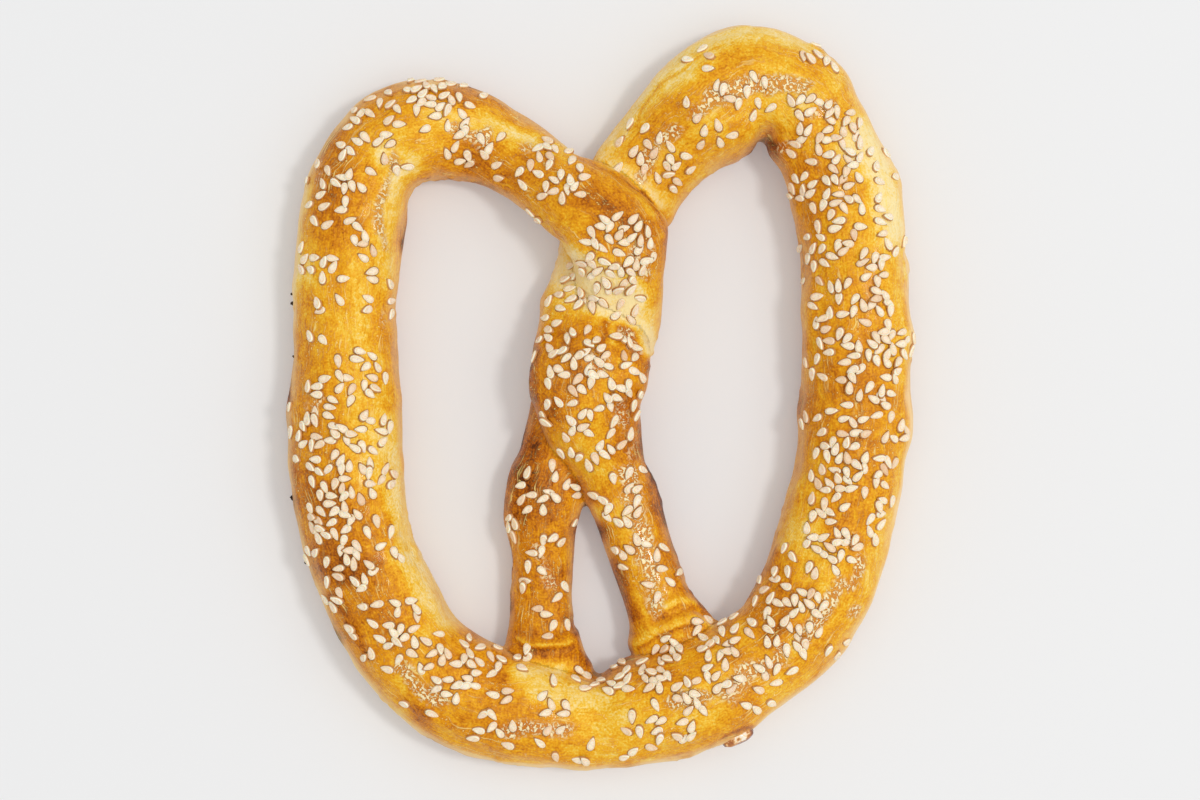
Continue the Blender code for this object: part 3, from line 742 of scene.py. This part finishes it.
def seed_shape():
    """One hulled seed: a flat teardrop along X with a soft rim and a slightly hollow face,
    in a thin collar of the glaze that it sank into.

    Returns its points for a size of 1 each way, its faces, and for each point how near
    the rim it is.
    """
    rings = [(0.42, 0.78), (0.7, 0.88), (0.9, 0.66), (1.0, 0.12), (1.0, -0.5), (1.22, -0.9)]
    points = [(0, 0, 0.36)]
    near_rim = [0]
    for reach, height in rings:
        for k in range(SEED_SEGMENTS):
            angle = math.tau * k / SEED_SEGMENTS
            x, y = math.cos(angle), math.sin(angle)
            narrowing = 1.02 - 0.34 * x - 0.16 * x * max(x, 0)
            points.append((reach * x / 2, reach * y * narrowing / 2, height / 2))
            near_rim.append(min(reach, 1))
    points.append((0, 0, -0.48))
    near_rim.append(1)
    last = len(points) - 1
    faces = []
    for k in range(SEED_SEGMENTS):
        after = (k + 1) % SEED_SEGMENTS
        faces.append((0, 1 + k, 1 + after))
        for ring in range(len(rings) - 1):
            here, below = 1 + ring * SEED_SEGMENTS, 1 + (ring + 1) * SEED_SEGMENTS
            faces.append((here + k, below + k, below + after, here + after))
        foot = last - SEED_SEGMENTS
        faces.append((last, foot + after, foot + k))
    return np.array(points), faces, np.array(near_rim)


def make_seeds(dough):
    """All the sesame seeds as one piece, each laid on the dough or against its neighbour."""
    places = []
    sow(random.Random(7), places, HANDFULS, SEED_SHARE_OF_SOLID, SEED_GAP_OF_SOLID)
    of_solid = len(places)
    draw = random.Random(19)
    sow(draw, places, HANDFULS + LOOSE_HANDFULS, SEED_SHARE_MORE, SEED_GAP)
    surface = surface_of(dough)
    shape, shape_faces, near_rim = seed_shape()
    copies, toasts, laid = [], [], []
    for i, (place, turn, size) in enumerate(places):
        hit, normal, _, _ = surface.ray_cast(Vector((*place * MM, 1)), DOWN)
        if hit is None or normal.z < (STEEPEST_OF_SOLID if i < of_solid else STEEPEST):
            continue
        hit = hit / MM
        lift = 0
        lies = normal.to_track_quat("Z", "Y").to_matrix()
        near = min(laid, key=lambda other: (other - hit).length, default=None)
        if near is not None and (near - hit).length < SEEDS_TOUCH:
            closeness = min(1, (SEEDS_TOUCH - (near - hit).length) / SEEDS_OVERLIE)
            lift = SEED_LIFTED * closeness
            away = (hit - near).normalized()
            lies = Matrix.Rotation(SEED_LEANS * closeness, 3, normal.cross(away)) @ lies
        lies = lies @ Matrix.Rotation(turn, 3, "Z")
        for axis in "XY":
            lies = lies @ Matrix.Rotation(draw.gauss(0, SEED_UNEVEN), 3, axis)
        laid.append(hit)
        scale = Vector((SEED_LENGTH * size, SEED_WIDTH * draw.uniform(0.9, 1.1), SEED_THICKNESS))
        middle = hit + normal * (SEED_THICKNESS / 2 - SEED_SUNK + lift)
        copies.append((shape * scale) @ np.array(lies).T + np.array(middle))
        toasts.append(draw.betavariate(*SEED_TOAST))
    seeds = new_copies("sesame_seeds", copies, shape_faces)
    give(seeds, "rim", np.tile(near_rim, len(copies)))
    give(seeds, "height", np.tile(shape[:, 2] + 0.5, len(copies)))
    give(seeds, "toast", np.repeat(toasts, len(shape)))
    return seeds


def ball(detail):
    """The points and faces of a ball of radius 1."""
    made = bmesh.new()
    bmesh.ops.create_icosphere(made, subdivisions=detail, radius=1)
    made.verts.index_update()
    points = np.array([vert.co[:] for vert in made.verts])
    faces = [tuple(vert.index for vert in face.verts) for face in made.faces]
    made.free()
    return points, faces


def make_drip():
    """The drop of glaze, drawn out along the bow's foot and a little uneven."""
    points, faces = ball(5)
    uneven = 0.1 * noise_at(points, 0.7, 21) + 0.05 * noise_at(points, 0.3, 22)
    points = points * (1 + uneven)[:, None]
    # Its ends sag below its middle.
    points[:, 1] += 0.18 * np.cos(2.2 * points[:, 0])
    turn = np.array(Matrix.Rotation(DRIP_TURN, 3, "Z"))
    placed = (points * np.array(DRIP_SIZE) / BALL_ACROSS) @ turn.T + np.array(DRIP_MIDDLE)
    placed[:, 2] = np.maximum(placed[:, 2], 0.02)
    drip = new_piece("glaze_drip", placed, faces)
    # Its top is painted lighter than its flanks: painted light and shade.
    give(drip, "painted_crown_light", smooth_step(-0.1, 0.9, points[:, 2]))
    return drip


def make_crumbs(dough):
    """Burnt crumbs stuck to the dough's left side."""
    surface = surface_of(dough)
    shape, shape_faces = ball(3)
    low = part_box("pretzel")[0].x / MM
    copies = []
    for i, (y, height, size) in enumerate(CRUMBS):
        hit = surface.ray_cast(Vector((2 * low, y, height)) * MM, Vector((1, 0, 0)))[0] / MM
        rough = 1 + 0.35 * noise_at(shape + 5 * i, 0.6, 23)
        lump = shape * rough[:, None] * size / 2 * np.array(CRUMB_SHAPE)
        copies.append(lump + np.maximum(np.array(hit), (low + 0.7 * size, -np.inf, 0.6 * size)))
    return new_copies("burnt_crumbs", copies, shape_faces)


def feed(tree, made, inputs):
    """Gives a node its inputs: each a value, or the output that it is linked to."""
    for socket, value in inputs.items():
        if isinstance(value, bpy.types.NodeSocket):
            tree.links.new(value, made.inputs[socket])
        else:
            made.inputs[socket].default_value = value


def node(tree, kind, inputs=None, **settings):
    """Adds a node with its inputs and its settings."""
    made = tree.nodes.new("ShaderNode" + kind)
    for name, value in settings.items():
        setattr(made, name, value)
    feed(tree, made, inputs or {})
    return made


def ramp(tree, value, stops):
    """A value as a colour of a ramp, whose first two stops are its ends."""
    made = node(tree, "ValToRGB", {"Fac": value})
    for i, (place, colour) in enumerate(stops):
        stop = made.color_ramp.elements[i] if i < 2 else made.color_ramp.elements.new(place)
        stop.position = place
        stop.color = linear(colour)
    return made.outputs["Color"]


def given(tree, name, output="Fac"):
    """What the mesh holds under this name."""
    return node(tree, "Attribute", attribute_name=name).outputs[output]


def noise(tree, place, width=1, output="Fac", **inputs):
    """Noise with forms of this width, in the units of the place."""
    return node(tree, "TexNoise", {"Vector": place, "Scale": 1 / width, **inputs}).outputs[output]


def drawn_out(tree, place, length, width):
    """A place along the rope, scaled so that noise of width 1 gets this length and width."""
    scales = (1 / length, 1 / width, 1)
    return node(tree, "VectorMath", {0: place, 1: scales}, operation="MULTIPLY").outputs["Vector"]


def weighed(tree, value, weight, onto=0.0, **settings):
    """A value times its weight, added onto another."""
    inputs = {0: value, 1: weight, 2: onto}
    return node(tree, "Math", inputs, operation="MULTIPLY_ADD", **settings).outputs[0]


def summed(tree, terms, onto=0.0, **settings):
    """Values, each times its weight, added onto another one after the other."""
    for value, weight in terms:
        onto = weighed(tree, value, weight, onto, **settings)
    return onto


def less(tree, value, amount):
    """A value less this amount, kept from 0 to 1."""
    return node(tree, "Math", {0: value, 1: amount}, operation="SUBTRACT", use_clamp=True).outputs[0]


def between(tree, value, low, high, top=1.0):
    """From 0 where the value is low or beyond to top where it is high or beyond."""
    inputs = {"Value": value, "From Min": low, "From Max": high, "To Max": top}
    return node(tree, "MapRange", inputs).outputs[0]


def painted(tree, share, under, over):
    """A share of one colour over another."""
    inputs = {"Factor": share, "A": under, "B": linear(over)}
    return node(tree, "Mix", inputs, data_type="RGBA").outputs["Result"]


def bumped(tree, height, distance, strength=1):
    """The normal of a surface whose height, times this distance, stands out in metres."""
    inputs = {"Height": height, "Distance": distance, "Strength": strength}
    return node(tree, "Bump", inputs).outputs["Normal"]


def new_material(name):
    """A material with its tree and its shader."""
    made = bpy.data.materials.new(name)
    made.use_nodes = True
    tree = made.node_tree
    return made, tree, tree.nodes["Principled BSDF"]


def in_millimetres(tree):
    """The place on the object, in millimetres."""
    place = node(tree, "TexCoord").outputs["Object"]
    return node(tree, "VectorMath", {0: place, "Scale": 1 / MM}, operation="SCALE").outputs["Vector"]


def egg_washed_crust():
    """Wheat crust washed with egg and baked: cream through gold to deep brown, with the
    dough's drawn-out fibres and a thin gloss, dried to wrinkles in places whose crests carry
    painted glints; its creases are browned with painted shade."""
    made, tree, shader = new_material("egg_washed_crust")
    place = in_millimetres(tree)
    rope = given(tree, "rope", "Vector")
    brown = given(tree, "brown")
    wrinkled = given(tree, "wrinkled")
    crease_shade = given(tree, "crease_shade")
    side = given(tree, "side")

    # What is drawn out along the rope wanders 2 mm sideways.
    bend = noise(tree, place, 8, "Color", Detail=2)
    wander = {0: bend, 1: (3, 4, 0), 2: rope}
    bent = node(tree, "VectorMath", wander, operation="MULTIPLY_ADD").outputs["Vector"]
    # Fibres of dough, fine threads of egg wash between them, and broad streaks of it.
    fibres = noise(tree, drawn_out(tree, bent, 7, 1.2), Detail=5, Roughness=0.65)
    threads = noise(tree, drawn_out(tree, bent, 5, 0.45), Detail=2)
    streaks = noise(tree, drawn_out(tree, bent, 12, 3), Detail=3)
    mottling = noise(tree, place, 2.2, Detail=2, Distortion=0.6)
    grain = noise(tree, place, 0.5, Detail=3)

    # These average a half, so half their weights come off again.
    patterns = [(fibres, 0.24), (streaks, 0.34), (mottling, 0.42), (grain, 0.64), (threads, 0.3)]
    # Creases are browned as painted shade.
    tone = summed(tree, [(crease_shade, 0.25), *patterns], brown)
    tone = less(tree, tone, sum(weight for _, weight in patterns) / 2)
    baked = ramp(tree, tone, [
        (0.0, "FCE7AA"),
        (1.0, "4A1E04"),
        (0.15, "FAD981"),
        (0.28, "F6C63E"),
        (0.4, "F0AE1C"),
        (0.52, "E3950E"),
        (0.65, "CC7808"),
        (0.78, "AA5806"),
        (0.9, "7A3604"),
    ])
    # On the sides the crust is paler and pinkish, unless it is burnt.
    light = between(tree, brown, 0.95, 0.55, 0.95)
    sided = painted(tree, weighed(tree, side, light), baked, "FAD69C")
    # The wrinkles' crests are painted pale as glints, on an orange ground.
    crests = between(tree, noise(tree, bent, 0.7, Detail=1, Distortion=0.6), 0.5, 0.58)
    crests_and_painted_glints = weighed(tree, crests, wrinkled)
    ground = painted(tree, weighed(tree, wrinkled, 0.65), sided, "C66A12")
    # Threads and specks of egg wash are painted pale: painted glints.
    thread_glints = between(tree, threads, 0.56, 0.68, 0.75)
    speck_glints = between(tree, grain, 0.6, 0.68, 0.85)
    painted_glints = node(tree, "Math", {0: thread_glints, 1: speck_glints}, operation="MAXIMUM").outputs[0]
    washed = between(tree, streaks, 0.48, 0.6)
    with_painted_glints = painted(tree, weighed(tree, painted_glints, washed), ground, "FFE48A")
    colour = painted(tree, crests_and_painted_glints, with_painted_glints, "FFEDBA")

    # How far the patterns stand out, in millimetres.
    rises = [(fibres, 0.24), (mottling, 0.3), (grain, 0.2), (threads, 0.24), (crests_and_painted_glints, 0.22)]
    height = summed(tree, rises)
    rough = summed(tree, [(streaks, 0.36), (side, 0.3), (wrinkled, -0.14)], 0.14)
    # The dried wash is glassy where it wrinkled, and all but gone elsewhere.
    coat = between(tree, streaks, 0.44, 0.6, 0.05)
    coat = summed(tree, [(wrinkled, 0.5), (side, -0.5)], coat, use_clamp=True)
    # Light glances off it golden, as through the wash.
    feed(tree, shader, {
        "Base Color": colour,
        "Normal": bumped(tree, height, MM, 0.8),
        "Roughness": rough,
        "IOR": 1.45,
        "Specular Tint": linear("FFDE98"),
        "Coat Weight": coat,
        "Coat Roughness": 0.05,
        "Coat IOR": 1.45,
    })
    return made


def hulled_sesame():
    """Hulled sesame, baked: ivory and waxy, with a darker ring inside its pale rim, which is
    partly a painted highlight, a speckled hollow face, a caramel collar where it sits in the
    glaze, darkened partly as painted shade, and here and there toasted."""
    made, tree, shader = new_material("hulled_sesame")
    place = in_millimetres(tree)
    rim = given(tree, "rim")
    height = given(tree, "height")
    toast = given(tree, "toast")
    # The pale rim is partly a painted highlight; a darker ring lies just inside it.
    waxy_with_painted_rim_light = ramp(tree, rim, [
        (0.0, "FFF2DC"),
        (1.0, "FFFCE6"),
        (0.6, "FFF0D4"),
        (0.74, "F6D2A4"),
        (0.88, "FFFAE0"),
    ])
    flecks = between(tree, noise(tree, place, 0.5, Detail=1), 0.5, 0.62, 0.5)
    hollow = between(tree, rim, 0.85, 0.6)
    faced = painted(tree, weighed(tree, flecks, hollow), waxy_with_painted_rim_light, "E2CCAE")
    browned = painted(tree, toast, faced, "DDA062")
    # The collar is stained caramel brown: glaze pooled round the seed, and painted shade under its edge.
    collar_stain_and_shade = between(tree, height, 0.54, 0.34, 0.9)
    stained_and_shaded = painted(tree, collar_stain_and_shade, browned, "D28C3C")
    # Fine pits of the hulled skin.
    pits = noise(tree, place, 0.35, Detail=2)
    # A seed's oily flesh lets a little light through.
    feed(tree, shader, {
        "Base Color": stained_and_shaded,
        "Normal": bumped(tree, pits, 0.06 * MM),
        "Roughness": 0.45,
        "IOR": 1.35,
        "Subsurface Weight": 0.3,
        "Subsurface Radius": (1, 0.7, 0.4),
        "Subsurface Scale": 0.4 * MM,
    })
    return made


def set_glaze():
    """Egg glaze that ran down and set: glassy and uneven, its crown painted pale with
    flecks of painted highlight and its flanks painted dark brown as shade."""
    made, tree, shader = new_material("set_glaze")
    place = in_millimetres(tree)
    painted_crown_light = given(tree, "painted_crown_light")
    # It is cloudy in places, and its skin is dimpled there.
    cloudy = noise(tree, place, 1.3, Detail=2)
    # Cloudiness and the painted light of the crown: pale flecks on top as painted highlights, dark brown
    # flanks as painted shade.
    clear = less(tree, weighed(tree, cloudy, 1.4, painted_crown_light), 0.75)
    colour = ramp(tree, clear, [
        (0.15, "6A3008"),
        (1.0, "FFF4E0"),
        (0.55, "A05212"),
        (0.8, "C47A28"),
        (0.92, "FFD89C"),
    ])
    feed(tree, shader, {
        "Base Color": colour,
        "Normal": bumped(tree, cloudy, 0.8 * MM),
        "Roughness": 0.2,
        "IOR": 1.4,
        "Coat Weight": 1,
        "Coat Roughness": 0.04,
    })
    return made


def charred_crumb():
    """Dough burnt to charcoal: nearly black, dry and rough."""
    made, tree, shader = new_material("charred_crumb")
    grain = noise(tree, in_millimetres(tree), 0.3, Detail=2)
    colour = ramp(tree, grain, [(0.4, "140D0A"), (0.7, "4A3020")])
    feed(tree, shader, {"Base Color": colour, "Roughness": 0.9})
    return made


def lit_panel():
    """White acrylic panel, matte, and lit a little from below so that shadows stay light."""
    made, tree, shader = new_material("lit_white_panel")
    feed(tree, shader, {
        "Base Color": linear("DEDCDA"),
        "Roughness": 0.9,
        "Specular IOR Level": 0.1,
        "Emission Color": linear("E4F2FF"),
        "Emission Strength": 0.15,
    })
    return made


def make_floor():
    half = FLOOR_WIDTH / 2
    corners = [(-half, -half), (half, -half), (half, half), (-half, half)]
    floor = new_piece("floor", [(x, y, FLOOR_HEIGHT) for x, y in corners], [(0, 1, 2, 3)])
    floor.data.materials.append(lit_panel())


def make_camera():
    camera = bpy.data.cameras.new("camera")
    camera.lens = LENS
    camera.sensor_width = SENSOR
    camera.clip_start = 10 * MM
    seen_from = new_object("camera", camera)
    x, y, z = VIEW_MIDDLE
    seen_from.location = Vector((x, y, z + VIEW_WIDTH * LENS / SENSOR)) * MM
    bpy.context.scene.camera = seen_from


def add_softbox(name, direction, distance, width, power):
    """A square lamp that faces the pretzel from this direction; distance and width in metres."""
    lamp = bpy.data.lights.new(name, "AREA")
    lamp.size = width
    lamp.energy = power
    softbox = new_object(name, lamp)
    toward = Vector(direction).normalized()
    softbox.location = toward * distance
    softbox.rotation_euler = toward.to_track_quat("Z", "Y").to_euler()


def make_light():
    """A pale room, a very large softbox high on the right and a small bright one."""
    world = bpy.data.worlds.new("pale room")
    world.use_nodes = True
    room = world.node_tree.nodes["Background"]
    feed(world.node_tree, room, {"Color": linear("FFFFFF"), "Strength": 0.68})
    bpy.context.scene.world = world
    add_softbox("large softbox", (0.4, 0, 0.9), 3.2, 2.8, 17)
    add_softbox("small softbox", (0.4, 0.06, 0.9), 3.2, 0.45, 24)
    bpy.context.scene.view_settings.view_transform = "Standard"


def main():
    rope = Rope()
    dough = make_dough(rope)
    seeds = make_seeds(dough)
    drip = make_drip()
    crumbs = make_crumbs(dough)
    finishes = [
        (dough, egg_washed_crust(), "crust"),
        (seeds, hulled_sesame(), "sesame_seeds"),
        (drip, set_glaze(), "glaze"),
        (crumbs, charred_crumb(), "crust"),
    ]
    for piece, finish, slot in finishes:
        piece.data.materials.clear()
        piece.data.materials.append(finish)
        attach(piece, "root")
        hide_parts("pretzel")
    make_floor()
    make_camera()
    make_light()


main()
